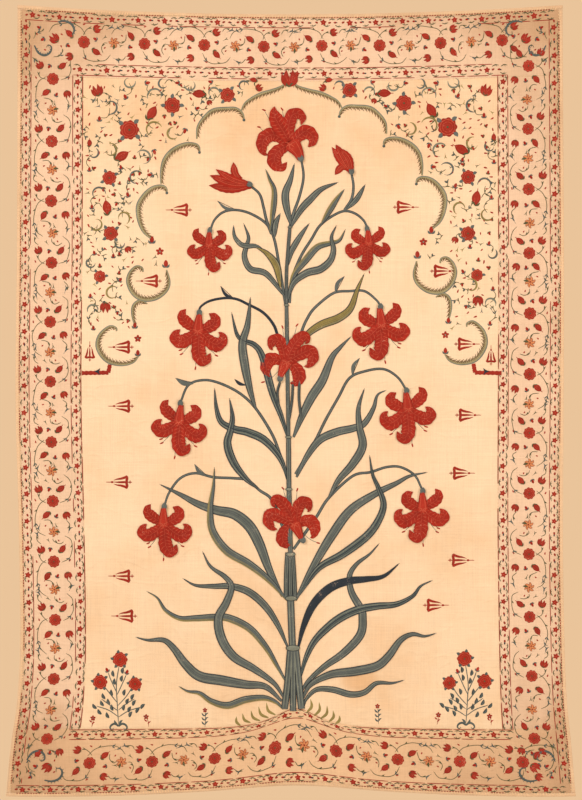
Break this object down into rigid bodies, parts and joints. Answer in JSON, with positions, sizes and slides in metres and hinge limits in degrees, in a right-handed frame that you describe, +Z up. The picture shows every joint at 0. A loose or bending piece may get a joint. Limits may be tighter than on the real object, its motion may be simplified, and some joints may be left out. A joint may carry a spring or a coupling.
{
  "type": "embroidered wall hanging",
  "caption": "Upright cotton wall hanging with a stitched flowering plant in a scalloped niche, floral border strips all round and a narrow sewn edging.",
  "frame": {"origin": "middle of the top edge, in the middle of the cloth's thickness", "axes": "+Z up, +X to the right of someone who faces the embroidered side, which looks along -Y"},
  "size_m": [0.9665, 0.0165, 1.3447],
  "materials": {
    "field_cotton": "matt plain weave, cream with faint stains",
    "border_cotton": "matt plain weave, pinkish cream",
    "hem_cotton": "matt plain weave, browner and worn",
    "edging_cotton": "matt rolled edging with overcast stitches",
    "red_silk": "soft silk stitching with a low sheen",
    "green_silk": "soft silk stitching with a low sheen",
    "blue_silk": "soft silk stitching with a low sheen",
    "gold_silk": "soft silk stitching with a low sheen"
  },
  "bodies": {
    "root": {"field": "field_cotton", "border_top": "border_cotton", "border_left": "border_cotton", "border_right": "border_cotton", "border_bottom": "hem_cotton", "edging_top": "edging_cotton", "edging_bottom": "edging_cotton", "edging_left": "edging_cotton", "edging_right": "edging_cotton"}
  },
  "joints": []
}
